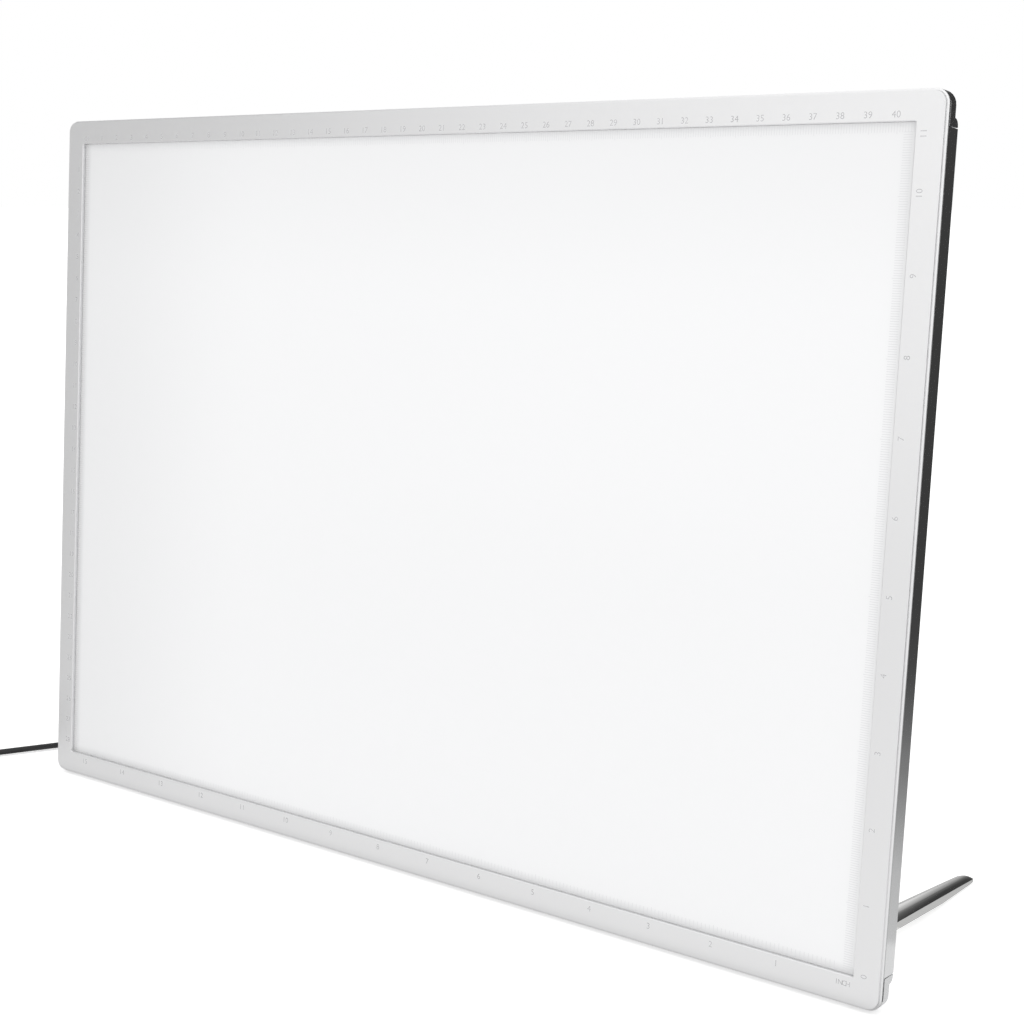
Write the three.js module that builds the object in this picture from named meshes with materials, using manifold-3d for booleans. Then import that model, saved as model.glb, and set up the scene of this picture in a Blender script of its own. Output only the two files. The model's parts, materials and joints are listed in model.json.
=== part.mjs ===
// LED light box for tracing, A3 size, standing on its long lower edge on two fold-out legs.
// Units are millimetres, +Z up, -Y is the side with the lit panel, +X to the viewer's right.
import * as THREE from 'three';
import { mergeVertices } from 'three/addons/utils/BufferGeometryUtils.js';
import Module from 'manifold-3d';

const wasm = await Module();
wasm.setup();

// ---------------------------------------------------------------- driving dimensions
const OPEN_W = 410, OPEN_H = 287;           // lit opening
const RIM = 10.5;                           // bezel width, all four sides
const W = OPEN_W + 2 * RIM;                 // 431 overall width
const H = OPEN_H + 2 * RIM;                 // 308 overall height
const LEAN = 4.6 * Math.PI / 180;           // the box leans back by this much
const CORNER_R = 5;                         // outer corner radius
const CHAMFER = 0.9;                        // bright chamfer round the front edge
const PLATE_T = 1.5;                        // front bezel thickness
const GAP = 0.3;                            // clearance between stacked pieces
const DEPTH = 9.8;                          // front face to rear of the rails
const CAP_DEPTH = 6.7;                      // front face to rear of the corner caps
const CAP_LEN = 12;                         // corner cap length along each edge
const RAIL_WALL = 1.6, FLANGE_IN = 3.4, FLANGE_T = 0.9;
const PANEL_SURFACE = 1.5;                  // lit surface below the bezel face
const COVER_Y0 = 7.8, COVER_Y1 = 8.6;       // back cover sheet
const HX = W / 2;

// legs
const LEG_OUT = 195;                        // outer side of a leg, from the middle plane
const LEG_W = 13;                           // width at the root
const LEG_TIP_W = 6.2;
const LEG_LEN = 120.3;                       // pivot to tip
const LEG_HALF = 1.6;                       // half thickness below the side's top edge
const PIVOT_Y = 13.6, DROOP = 0.7 * Math.PI / 180;
const PIN_R = 1.4;

// cord
const CORD_D = 2.8, CORD_R = CORD_D / 2;
const COIL_R_OUT = 22.6, COIL_R_IN = 11.2, COIL_H = 10.3;

// ---------------------------------------------------------------- helpers
function solid(geometry) {
  let g = geometry.clone();
  if (g.index) g = g.toNonIndexed();
  g.deleteAttribute('normal'); g.deleteAttribute('uv');
  g = mergeVertices(g, 1e-4);
  return new wasm.Manifold(new wasm.Mesh({
    numProp: 3,
    vertProperties: new Float32Array(g.attributes.position.array),
    triVerts: new Uint32Array(g.index.array),
  }));
}
function geom(manifold) {
  const m = manifold.getMesh(), n = m.numProp, count = m.vertProperties.length / n;
  const pos = new Float32Array(count * 3);
  for (let i = 0; i < count; i++) for (let k = 0; k < 3; k++) pos[3 * i + k] = m.vertProperties[n * i + k];
  const g = new THREE.BufferGeometry();
  g.setAttribute('position', new THREE.BufferAttribute(pos, 3));
  g.setIndex(new THREE.BufferAttribute(new Uint32Array(m.triVerts), 1));
  g.computeVertexNormals();
  return g;
}
const boxGeo = (x0, x1, y0, y1, z0, z1) =>
  new THREE.BoxGeometry(x1 - x0, y1 - y0, z1 - z0).translate((x0 + x1) / 2, (y0 + y1) / 2, (z0 + z1) / 2);
const box = (...a) => solid(boxGeo(...a));

// prism: a 2-D outline run along one axis. Outline planes: x -> (y, z), y -> (x, z), z -> (x, y).
function prismGeo(points, axis, a0, a1, extra = {}) {
  const shape = new THREE.Shape(points.map(p => new THREE.Vector2(p[0], p[1])));
  const g = new THREE.ExtrudeGeometry(shape, { depth: a1 - a0, bevelEnabled: false, steps: 1, curveSegments: 4, ...extra });
  const m = new THREE.Matrix4();
  if (axis === 'z') m.makeTranslation(0, 0, a0);
  if (axis === 'x') m.set(0, 0, 1, a0, 1, 0, 0, 0, 0, 1, 0, 0, 0, 0, 0, 1);
  if (axis === 'y') m.set(1, 0, 0, 0, 0, 0, -1, a1, 0, 1, 0, 0, 0, 0, 0, 1);
  return g.applyMatrix4(m);
}
const prism = (...a) => solid(prismGeo(...a));
function circle(cx, cy, r, n = 20, turn = 0) {
  return Array.from({ length: n }, (_, i) => {
    const a = turn + 2 * Math.PI * i / n;
    return [cx + r * Math.cos(a), cy + r * Math.sin(a)];
  });
}
const rod = (axis, cx, cy, r, a0, a1, n = 20) => prism(circle(cx, cy, r, n), axis, a0, a1);
function roundRect(x0, x1, z0, z1, r, seg = 6) {
  const pts = [];
  for (const [cx, cz, a] of [[x1 - r, z0 + r, -Math.PI / 2], [x1 - r, z1 - r, 0], [x0 + r, z1 - r, Math.PI / 2], [x0 + r, z0 + r, Math.PI]])
    for (let i = 0; i <= seg; i++) {
      const t = a + (Math.PI / 2) * i / seg;
      pts.push([cx + r * Math.cos(t), cz + r * Math.sin(t)]);
    }
  return pts;
}
// solid of revolution about an axis through (cx, cy) of the outline plane; profile is [radius, position]
function turned(axis, cx, cy, profile, n = 20) {
  const g = new THREE.LatheGeometry(profile.map(p => new THREE.Vector2(p[0], p[1])), n);
  // the lathe axis is +Y; move it to the chosen axis by a proper rotation
  if (axis === 'x') g.rotateZ(-Math.PI / 2).translate(0, cx, cy);
  if (axis === 'z') g.rotateX(Math.PI / 2).translate(cx, cy, 0);
  if (axis === 'y') g.translate(cx, 0, cy);
  return g;
}
function tubeGeo(points, r, steps, sides = 8) {
  const curve = new THREE.CatmullRomCurve3(points.map(p => new THREE.Vector3(...p)), false, 'centripetal');
  return new THREE.ExtrudeGeometry(new THREE.Shape(circle(0, 0, r, sides).map(p => new THREE.Vector2(...p))),
    { steps, bevelEnabled: false, extrudePath: curve });
}

// ---------------------------------------------------------------- materials
const material = (color, roughness, metalness, more = {}) =>
  new THREE.MeshStandardMaterial({ color, roughness, metalness, ...more });
const bezelMat = () => material(0xdadbdc, 0.38, 0.85);
const railMat = () => material(0xc9cacb, 0.22, 1.0);
const capMat = () => material(0xb9babb, 0.3, 0.9);
const steelMat = () => material(0xc4c4c2, 0.2, 1.0);
const zincMat = () => material(0xb4b6b8, 0.35, 0.9);
const blackMat = () => material(0x121213, 0.5, 0.0);
const rubberMat = () => material(0x1b1b1c, 0.85, 0.0);
const wireMat = () => material(0x8b1d1a, 0.5, 0.0);

// ---------------------------------------------------------------- tree
const group = new THREE.Group();
const tilted = new THREE.Group();           // everything that leans back with the panel
tilted.rotation.x = -LEAN;
group.add(tilted);
function add(parent, name, shape, mat) {
  const g = shape.isBufferGeometry ? shape : geom(shape);
  const mesh = new THREE.Mesh(g, mat);
  mesh.name = name;
  parent.add(mesh);
  return mesh;
}

// ---------------------------------------------------------------- front bezel
const outline = roundRect(-HX, HX, 0, H, CORNER_R, 6);
{
  const slab = solid(prismGeo(outline, 'y', CHAMFER, 4, {
    bevelEnabled: true, bevelThickness: CHAMFER, bevelSize: CHAMFER, bevelOffset: -CHAMFER, bevelSegments: 1,
  })).intersect(box(-HX - 5, HX + 5, -1, PLATE_T, -5, H + 5));
  const hole = prism(roundRect(-OPEN_W / 2, OPEN_W / 2, RIM, RIM + OPEN_H, 0.5, 3), 'y', -2, 4);
  add(tilted, 'front_bezel', slab.subtract(hole), bezelMat());
}

// ---------------------------------------------------------------- lit panel and the light stack behind it
{
  const base = prism(roundRect(-HX + 3.5, HX - 3.5, 3.5, H - 3.5, 2, 3), 'y', PLATE_T + GAP, 3.5);
  const field = prism(roundRect(-OPEN_W / 2 + GAP, OPEN_W / 2 - GAP, RIM + GAP, RIM + OPEN_H - GAP, 0.5, 2), 'y', PANEL_SURFACE, 2.6);
  add(tilted, 'face_panel', base.add(field), material(0xf4f5f6, 0.25, 0.0));
}
const STACK_X = 205.9, STACK_Z0 = 9.8, STACK_Z1 = H - 9.8;
add(tilted, 'diffuser_film', prismGeo(roundRect(-STACK_X, STACK_X, STACK_Z0, STACK_Z1, 1, 2), 'y', 3.8, 4.0), material(0xf2f2f2, 0.6, 0.0));
add(tilted, 'light_guide_plate', prismGeo(roundRect(-STACK_X, STACK_X, STACK_Z0, STACK_Z1, 1, 2), 'y', 4.3, 7.0), material(0xe6eef2, 0.1, 0.0));
add(tilted, 'reflector_sheet', prismGeo(roundRect(-STACK_X, STACK_X, STACK_Z0, STACK_Z1, 1, 2), 'y', 7.3, 7.5), material(0xffffff, 0.7, 0.0));

// LED strips: a narrow board standing along each long edge of the guide plate, LEDs facing it
function ledStrip(name, zBack, dir) {
  // dir +1: LEDs face up (bottom strip); -1: LEDs face down (top strip)
  const z = (a, b) => dir > 0 ? [zBack + a, zBack + b] : [zBack - b, zBack - a];
  let s = box(-190, 190, 4.3, 7.2, ...z(0, 1.0));
  for (let i = 0; i < 30; i++) {
    const x = -184.15 + 12.7 * i;
    s = s.add(box(x - 1.75, x + 1.75, 4.6, 6.9, ...z(0.9, 2.4)));
  }
  add(tilted, name, s, material(0xe9e4c8, 0.5, 0.0));
}
ledStrip('bottom_led_strip', 6.6, 1);
ledStrip('top_led_strip', H - 6.6, -1);

// ---------------------------------------------------------------- back cover
const CORNER_SCREWS = [[-1, 6.3], [1, 6.3], [-1, H - 6.3], [1, H - 6.3]].map(([s, z]) => [s * (HX - 6.3), z]);
const RIVET_X = [LEG_OUT - 10.6, LEG_OUT - 2.6], RIVET_Z = 22;
const BOOT_X = -HX + 6.7, BOOT_Z = 62;
{
  let c = prism(roundRect(-HX + 2, HX - 2, 2, H - 2, 5, 5), 'y', COVER_Y0, COVER_Y1);
  for (const [x, z] of CORNER_SCREWS) c = c.subtract(rod('y', x, z, 1.7, 7, 9.5, 16));
  for (const s of [-1, 1]) for (const x of RIVET_X) c = c.subtract(rod('y', s * x, RIVET_Z, 1.8, 7, 9.5, 16));
  c = c.subtract(rod('y', BOOT_X, BOOT_Z, 2.25, 7, 9.5, 20));
  add(tilted, 'back_cover', c, material(0xcfd0d1, 0.45, 0.6));
}

// ---------------------------------------------------------------- edge rails
// section: s from the outer face inwards, y from front to rear
const RAIL_Y0 = PLATE_T + GAP;
const railSection = [
  [0, RAIL_Y0], [3.2, RAIL_Y0], [3.2, RAIL_Y0 + 0.8], [RAIL_WALL, RAIL_Y0 + 0.8], [RAIL_WALL, DEPTH - FLANGE_T],
  [FLANGE_IN, DEPTH - FLANGE_T], [FLANGE_IN, DEPTH - 0.25], [FLANGE_IN - 0.25, DEPTH], [0.45, DEPTH], [0.13, DEPTH - 0.13], [0, DEPTH - 0.45],
];
const RAIL_END = CAP_LEN + 0.25;            // from the outer corner
function railProfile(a0, a1, r) {           // [along, y] outline with both rear ends rounded
  const p = [[a0, RAIL_Y0 - 1], [a1, RAIL_Y0 - 1]];
  for (let i = 0; i <= 2; i++) { const t = Math.PI / 2 * i / 2; p.push([a1 - r + r * Math.cos(t), DEPTH - r + r * Math.sin(t)]); }
  for (let i = 0; i <= 2; i++) { const t = Math.PI / 2 + Math.PI / 2 * i / 2; p.push([a0 + r + r * Math.cos(t), DEPTH - r + r * Math.sin(t)]); }
  return p;
}
const BUTTON_Y = 5.9, BUTTON_Z = 106;       // power button in the left rail
const BOARD_Z0 = 80, BOARD_Z1 = 140;
function rail(side) {
  const vertical = side === 'left' || side === 'right';
  const a0 = vertical ? RAIL_END : -HX + RAIL_END, a1 = vertical ? H - RAIL_END : HX - RAIL_END;
  const prof = railProfile(a0, a1, 0.4);
  let s;
  if (vertical) {
    const k = side === 'right' ? 1 : -1;
    s = prism(railSection.map(([q, y]) => [k * (HX - q), y]), 'z', a0, a1)
      .intersect(prism(prof.map(([a, y]) => [y, a]), 'x', -HX - 2, HX + 2));
  } else {
    s = prism(railSection.map(([q, y]) => [y, side === 'top' ? H - q : q]), 'x', a0, a1)
      .intersect(prism(prof, 'z', -2, H + 2));
  }
  if (side === 'left') // slot for the power button
    s = s.subtract(prism(roundRect(BUTTON_Y - 1.5, BUTTON_Y + 1.5, BUTTON_Z - 3.2, BUTTON_Z + 3.2, 1.49, 6), 'x', -HX - 1, -HX + 3));
  add(tilted, side + '_rail', s, railMat());
}
['bottom', 'top', 'left', 'right'].forEach(rail);

// ---------------------------------------------------------------- corner caps
// L-shaped, with a tongue into each rail, a boss for the back cover's screw and a shadow groove behind the bezel
function cornerCap(name, sx, sz) {
  const X = q => sx * (HX - q), Z = q => sz > 0 ? H - q : q;    // q measured inwards from the outer faces
  const bx = (q0, q1, y0, y1, p0, p1) => box(Math.min(X(q0), X(q1)), Math.max(X(q0), X(q1)), y0, y1, Math.min(Z(p0), Z(p1)), Math.max(Z(p0), Z(p1)));
  let s = prism(outline, 'y', RAIL_Y0, CAP_DEPTH).subtract(box(-HX + 3, HX - 3, 0, 9, 3, H - 3));
  s = s.intersect(bx(-1, CAP_LEN, 0, 9, -1, CAP_LEN));
  // shadow grooves on the two outer faces
  s = s.subtract(bx(-1, 0.8, RAIL_Y0 - 1, RAIL_Y0 + 0.75, 4, CAP_LEN + 1));
  s = s.subtract(bx(4, CAP_LEN + 1, RAIL_Y0 - 1, RAIL_Y0 + 0.75, -1, 0.8));
  // rounded lugs that meet each rail at its full depth
  const lug = [[8.6, CAP_DEPTH - 1], [CAP_LEN, CAP_DEPTH - 1], [CAP_LEN, DEPTH - 0.75], [CAP_LEN - 0.25, DEPTH - 0.5]];
  for (let i = 0; i <= 6; i++) { const t = Math.PI / 2 + Math.PI / 2 * i / 6; lug.push([CAP_LEN - 0.4 + 2.6 * Math.cos(t), CAP_DEPTH + 2.6 * Math.sin(t)]); }
  const along = (pts, f) => pts.map(f);
  s = s.add(prism(along(lug, ([a, y]) => [y, Z(a)]), 'x', Math.min(X(0), X(1.6)), Math.max(X(0), X(1.6))));
  s = s.add(prism(along(lug, ([a, y]) => [X(a), y]), 'z', Math.min(Z(0), Z(1.6)), Math.max(Z(0), Z(1.6))));
  // tongues
  s = s.add(bx(1.9, 2.9, 3.3, 6.2, CAP_LEN - 1, CAP_LEN + 9));
  s = s.add(bx(CAP_LEN - 1, CAP_LEN + 9, 3.3, 6.2, 1.9, 2.9));
  // boss with its pilot hole, tied to both walls
  s = s.add(rod('y', X(6.3), Z(6.3), 2.4, 3.9, CAP_DEPTH + 0.6, 16));
  s = s.add(bx(2.5, 6.3, 3.9, CAP_DEPTH - 0.6, 5.5, 7.1));
  s = s.add(bx(5.5, 7.1, 3.9, CAP_DEPTH - 0.6, 2.5, 6.3));
  s = s.subtract(rod('y', X(6.3), Z(6.3), 1.5, 4.6, 9, 12));
  add(tilted, name, s, capMat());
}
cornerCap('bottom_left_corner_cap', -1, -1);
cornerCap('bottom_right_corner_cap', 1, -1);
cornerCap('top_left_corner_cap', -1, 1);
cornerCap('top_right_corner_cap', 1, 1);

// ---------------------------------------------------------------- back cover screws (pan head, cross recess)
['bottom_left', 'bottom_right', 'top_left', 'top_right'].forEach((n, i) => {
  const [x, z] = CORNER_SCREWS[i];
  let s = solid(turned('y', x, z, [[0, 5.0], [1.2, 5.4], [1.2, 8.9], [2.7, 8.9], [2.7, 9.35], [2.2, 9.85], [1.2, 10.1], [0, 10.15]], 18));
  s = s.subtract(box(x - 1.4, x + 1.4, 9.5, 11, z - 0.3, z + 0.3)).subtract(box(x - 0.3, x + 0.3, 9.5, 11, z - 1.4, z + 1.4));
  add(tilted, n + '_cover_screw', s, zincMat());
});

// ---------------------------------------------------------------- rubber feet for use lying flat
[['bottom_left', -150, 24], ['bottom_right', 150, 24], ['top_left', -190, H - 24], ['top_right', 190, H - 24]].forEach(([n, x, z]) => {
  add(tilted, n + '_rear_foot', turned('y', x, z, [[0, 8.9], [6.5, 8.9], [6.5, 9.9], [5.6, 17.4], [5.0, 18.0], [0, 18.0]], 24), rubberMat());
});

// ---------------------------------------------------------------- control board, switch and button (in the left margin)
{
  const x0 = -HX + 4.2, x1 = -HX + 9.0;
  let b = box(x0, x1, 4.4, 5.4, BOARD_Z0, BOARD_Z1);
  b = b.add(box(x0 + 0.6, x0 + 4.2, 5.35, 6.5, 114, 119));      // controller chip
  b = b.add(box(x0 + 0.5, x0 + 4.3, 5.35, 7.1, 122, 126));      // inductor
  b = b.add(box(x0 + 0.8, x0 + 2.8, 5.35, 6.2, 128.5, 130));    // capacitor
  b = b.add(box(x0 + 0.8, x0 + 2.8, 5.35, 6.2, 110, 111.4));    // capacitor
  b = b.add(box(x0 + 1.0, x0 + 3.6, 5.35, 6.3, 92, 95.5));      // rectifier
  add(tilted, 'control_board', b, material(0x1f6b3a, 0.45, 0.1));
  let t = box(x0 + 0.1, x0 + 2.8, 5.5, 7.1, BUTTON_Z - 2.4, BUTTON_Z + 2.4);
  t = t.add(rod('x', BUTTON_Y + 0.05, BUTTON_Z, 0.42, x0 - 0.9, x0 + 0.5, 12));
  add(tilted, 'tact_switch', t, blackMat());
}
let buttonMesh;
{
  let b = prism(roundRect(BUTTON_Y - 1.2, BUTTON_Y + 1.2, BUTTON_Z - 2.9, BUTTON_Z + 2.9, 1.19, 6), 'x', -HX, -HX + 2.2);
  b = b.add(prism(roundRect(BUTTON_Y - 1.6, BUTTON_Y + 1.6, BUTTON_Z - 4.2, BUTTON_Z + 4.2, 1.2, 3), 'x', -HX + 1.9, -HX + 2.5));
  buttonMesh = add(tilted, 'power_button', b, material(0x2a2b2d, 0.4, 0.0));
}

// ---------------------------------------------------------------- internal leads
add(tilted, 'bottom_led_lead', tubeGeo([[-207.4, 6.35, 84], [-207.4, 6.1, 78], [-207.3, 5.3, 72], [-207.3, 5.2, 40], [-207.3, 5.2, 16], [-206.95, 5.4, 11.6],
  [-205.6, 5.7, 8.7], [-202.5, 5.75, 7.4], [-196, 5.75, 7.1], [-190.4, 5.75, 7.1]], 0.55, 26, 6), wireMat());
add(tilted, 'top_led_lead', tubeGeo([[-208.6, 6.35, 136], [-208.6, 6.3, 141], [-208.6, 5.8, 148], [-208.6, 5.7, 180], [-208.6, 5.7, 230], [-208.6, 5.7, 288],
  [-208.3, 5.7, 297.4], [-206.2, 5.7, 300.6], [-198, 5.75, 300.9], [-190.4, 5.75, 300.9]], 0.55, 40, 6), wireMat());
add(tilted, 'supply_lead', tubeGeo([[BOOT_X, 6.6, BOOT_Z], [BOOT_X, 6.0, BOOT_Z + 0.9], [BOOT_X - 0.2, 5.85, BOOT_Z + 3.5], [BOOT_X - 0.6, 6.1, BOOT_Z + 10], [BOOT_X - 0.8, 6.35, BOARD_Z0 + 3]], 0.6, 12, 6), blackMat());

// ---------------------------------------------------------------- legs, hinge brackets, pins
const legGroups = {};
const cosA = Math.cos(LEAN), sinA = Math.sin(LEAN);
const TIP_LOW = -0.05;                       // underside of the tip below the leg's centre plane
// lowest point of the bottom rail: its rear edge has a small two-step chamfer
let railLow = Infinity;
for (const [q, y] of railSection) railLow = Math.min(railLow, q * cosA - y * sinA);
const slope = LEAN + DROOP;
// the tip's underside touches the same plane as the bottom rail
const TIP_YL = LEG_LEN - 1.6;
const PIVOT_Z = (railLow + TIP_YL * Math.sin(slope) - TIP_LOW * Math.cos(slope) + PIVOT_Y * sinA) / cosA;

function legGeometry(k) {
  // stations along the leg: [distance from the pivot, bottom, side top, width scale, crown, outer inset]
  const wAt = y => LEG_W + (LEG_TIP_W - LEG_W) * y / LEG_LEN;
  const st = [
    [0, -LEG_HALF, 1.4, 1.1], [12, -LEG_HALF, 1.4, 1.1], [45, -LEG_HALF, 1.4, 1.05], [87, -LEG_HALF, 1.4, 0.95],
    [103, -0.8, 1.4, 0.85], [113, -0.3, 1.35, 0.75], [116.6, TIP_LOW + 0.03, 1.3, 0.68], [LEG_LEN - 1.6, TIP_LOW, 1.2, 0.58], [LEG_LEN - 0.5, 0.1, 0.95, 0.35], [LEG_LEN, 0.35, 0.7, 0.12],
  ];
  const N = 9, rings = [];
  for (const [y, zb, zt, crown] of st) {
    const w = wAt(y);
    // round nose in plan
    const r = LEG_TIP_W / 2, d = Math.max(0, y - (LEG_LEN - r)), inset = r - Math.sqrt(Math.max(0.02, r * r - d * d));
    const xo = -inset, xi = -w + inset;
    const ring = [[xo, zb], [xo, zt]];
    for (let i = 1; i < N; i++) { const t = i / N; ring.push([xo + (xi - xo) * t, zt + crown * Math.sin(Math.PI * t)]); }
    ring.push([xi, zt], [xi, zb]);
    rings.push(ring.map(([x, z]) => [k * x, y, z]));
  }
  const M = rings[0].length, pos = [], idx = [];
  rings.forEach(r => r.forEach(p => pos.push(...p)));
  const tri = (a, b, c) => k > 0 ? idx.push(a, c, b) : idx.push(a, b, c);
  for (let i = 0; i + 1 < rings.length; i++) for (let j = 0; j < M; j++) {
    const a = i * M + j, b = i * M + (j + 1) % M, c = a + M, d = b + M;
    tri(a, b, d); tri(a, d, c);
  }
  const cap = (base, flip) => {
    const c = pos.length / 3, ring = rings[base];
    pos.push(ring.reduce((s, p) => s + p[0], 0) / M, ring[0][1], (ring[0][2] + ring[1][2]) / 2);
    for (let j = 0; j < M; j++) { const a = base * M + j, b = base * M + (j + 1) % M; flip ? tri(c, a, b) : tri(c, b, a); }
  };
  cap(0, false); cap(rings.length - 1, true);
  const g = new THREE.BufferGeometry();
  g.setAttribute('position', new THREE.BufferAttribute(new Float32Array(pos), 3));
  g.setIndex(idx);
  return g;
}
function leg(side) {
  const k = side === 'right' ? 1 : -1;
  const P = new THREE.Group();
  P.position.set(k * LEG_OUT, PIVOT_Y, PIVOT_Z);
  P.rotation.x = -DROOP;
  tilted.add(P);
  legGroups[side] = P;
  const g = legGeometry(k).toNonIndexed();
  g.computeVertexNormals();
  g.setAttribute('uv', new THREE.BufferAttribute(new Float32Array(g.attributes.position.count * 2), 2));
  let s = solid(g);
  const x0 = Math.min(0, -k * LEG_W), x1 = Math.max(0, -k * LEG_W);
  s = s.add(rod('x', 0, 0, 3.0, x0, x1, 24));                                   // eye round the pin
  s = s.add(prism([[0, -3.0], [5.2, -3.0], [9.5, -1.5], [9.5, 0], [0, 0]], 'x', x0, x1)); // heel that meets the stop
  s = s.subtract(rod('x', 0, 0, PIN_R + 0.15, x0 - 2, x1 + 2, 24));
  add(P, side + '_leg', s, steelMat());

  // bracket, fixed to the back cover
  const B = new THREE.Group();
  B.position.set(k * LEG_OUT, 0, 0);
  tilted.add(B);
  const X = (a, b) => [Math.min(-k * a, -k * b), Math.max(-k * a, -k * b)];      // a, b measured inwards from the leg's outer side
  const inner = LEG_W + 0.3 + 0.6 + 0.3;                                          // room for the friction washer
  const zb = PIVOT_Z - 4.6;
  let br = box(...X(-1.5, inner + 1.2), 8.9, 9.9, zb, 27);
  const ear = [[9.4, zb], [19.4, zb], [19.4, zb + 2.4], [17.4, PIVOT_Z + 2.6], [15.6, PIVOT_Z + 4.0], [9.4, PIVOT_Z + 6.4]];
  br = br.add(prism(ear, 'x', ...X(-1.5, -0.3))).add(prism(ear, 'x', ...X(inner, inner + 1.2)));
  br = br.add(box(...X(-1.5, inner + 1.2), 9.4, 19.4, zb, zb + 1.2));             // stop web under the heel
  br = br.subtract(rod('x', PIVOT_Y, PIVOT_Z, PIN_R + 0.15, -30, 30, 24));
  for (const rx of RIVET_X) br = br.subtract(rod('y', k * rx - k * LEG_OUT, RIVET_Z, 1.8, 8, 11, 16));
  add(B, side + '_leg_bracket', br, zincMat());

  // pin with a flat head on the outer side and a groove for the clip on the inner side
  const pinProfile = [[0, -2.9], [2.6, -2.9], [2.6, -1.8], [PIN_R, -1.8], [PIN_R, inner + 3.0], [PIN_R - 0.3, inner + 3.3], [0, inner + 3.3]];
  const orient = g2 => { g2.rotateZ(k > 0 ? Math.PI / 2 : -Math.PI / 2); return g2; };
  const lathe = (prof, n) => orient(new THREE.LatheGeometry(prof.map(p => new THREE.Vector2(p[0], p[1])), n)).translate(0, PIVOT_Y, PIVOT_Z);
  add(B, side + '_hinge_pin', lathe(pinProfile, 20), steelMat());
  const ringProfile = (ri, ro, a, b) => [[ri, a], [ro, a], [ro, b], [ri, b], [ri, a]];
  add(B, side + '_retaining_clip', lathe(ringProfile(PIN_R + 0.15, 3.0, inner + 1.5, inner + 2.2), 20), steelMat());
  add(B, side + '_friction_washer', lathe(ringProfile(PIN_R + 0.15, 3.0, LEG_W + 0.3, LEG_W + 0.9), 20), steelMat());
  ['a', 'b'].forEach((n, i) => {
    const x = k * RIVET_X[i] - k * LEG_OUT;
    add(B, side + '_bracket_rivet_' + n, turned('y', x, RIVET_Z, [[0, 7.7], [1.5, 7.7], [1.5, 10.15], [2.5, 10.15], [2.3, 10.5], [1.4, 10.75], [0, 10.8]], 16), zincMat());
  });
}
leg('left'); leg('right');

// ---------------------------------------------------------------- cord boot (moulded strain relief) on the back cover
add(tilted, 'cord_strain_relief', turned('y', BOOT_X, BOOT_Z, [[0, 7.0], [2.55, 7.0], [2.55, 7.5], [2.0, 7.5], [2.0, 8.9], [2.95, 8.9], [2.95, 10.6],
  [2.5, 10.8], [2.3, 12.8], [2.55, 13.1], [2.2, 15.2], [2.45, 15.5], [2.05, 17.6], [2.3, 17.9], [1.75, 21.4], [1.6, 22], [0, 22]], 20), rubberMat());

// ---------------------------------------------------------------- stand the assembly on Z = 0, origin under the middle of its box
group.updateMatrixWorld(true);
const bounds = new THREE.Box3().setFromObject(tilted, true);
tilted.position.set(0, -(bounds.min.y + bounds.max.y) / 2, -bounds.min.z);
group.updateMatrixWorld(true);

// ---------------------------------------------------------------- power cord: out of the boot, down to the table, away to a coil
// The route is made of straight runs and arcs; heading is the way it leaves across the table.
const place = (x, y, z) => new THREE.Vector3(x, y, z).applyMatrix4(tilted.matrixWorld);
const FLOOR = CORD_R + 0.1;
const heading = new THREE.Vector2(-0.49, -0.872).normalize();
const exit = place(BOOT_X, 22.3, BOOT_Z);
const route = [];
const R_TOP = 12.5, R_TURN = 12.5, RUN = 80;
const PASS = new THREE.Vector2(-242.3, -44.9);   // the straight run crosses the table through this point
let cursor;
{
  const out = new THREE.Vector3(0, cosA, -sinA);                       // the boot's direction
  route.push(exit.clone(), exit.clone().addScaledVector(out, 3), exit.clone().addScaledVector(out, 6));
  cursor = exit.clone().addScaledVector(out, 6);
  const a0 = LEAN;                                                      // angle below level
  const c1 = new THREE.Vector3(cursor.x, cursor.y - R_TOP * Math.sin(a0), cursor.z - R_TOP * Math.cos(a0));
  for (let i = 1; i <= 5; i++) { const t = a0 + (Math.PI / 2 - a0) * i / 5; route.push(new THREE.Vector3(c1.x, c1.y + R_TOP * Math.sin(t), c1.z + R_TOP * Math.cos(t))); }
  const yDown = c1.y + R_TOP, turn = Math.atan2(-heading.y, -heading.x);
  const xCross = PASS.x + heading.x * (yDown - PASS.y) / heading.y;      // where the straight run's line meets the drop's plane
  const R_LAND = exit.x - (xCross + R_TURN * Math.tan(turn / 2)), zLand = FLOOR + R_LAND;
  route.push(new THREE.Vector3(exit.x, yDown, (c1.z + zLand) / 2));
  for (let i = 0; i <= 4; i++) { const t = Math.PI / 2 * i / 4; route.push(new THREE.Vector3(exit.x - R_LAND * (1 - Math.cos(t)), yDown, zLand - R_LAND * Math.sin(t))); }
  const x1 = exit.x - R_LAND;
  for (let i = 1; i <= 4; i++) { const t = turn * i / 4; route.push(new THREE.Vector3(x1 - R_TURN * Math.sin(t), yDown - R_TURN * (1 - Math.cos(t)), FLOOR)); }
  cursor = route[route.length - 1].clone();
}
const entry = new THREE.Vector2(cursor.x + heading.x * RUN, cursor.y + heading.y * RUN);     // where it joins the coil's outer turn
const RM = COIL_R_OUT - CORD_R;
const coilC = new THREE.Vector2(entry.x + RM * heading.y, entry.y - RM * heading.x);
for (const d of [16, 32, 48, RUN - 12.4]) route.push(new THREE.Vector3(cursor.x + heading.x * d, cursor.y + heading.y * d, FLOOR));
add(group, 'power_cord', tubeGeo(route.map(p => p.toArray()), CORD_R, 30, 8), blackMat());
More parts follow.
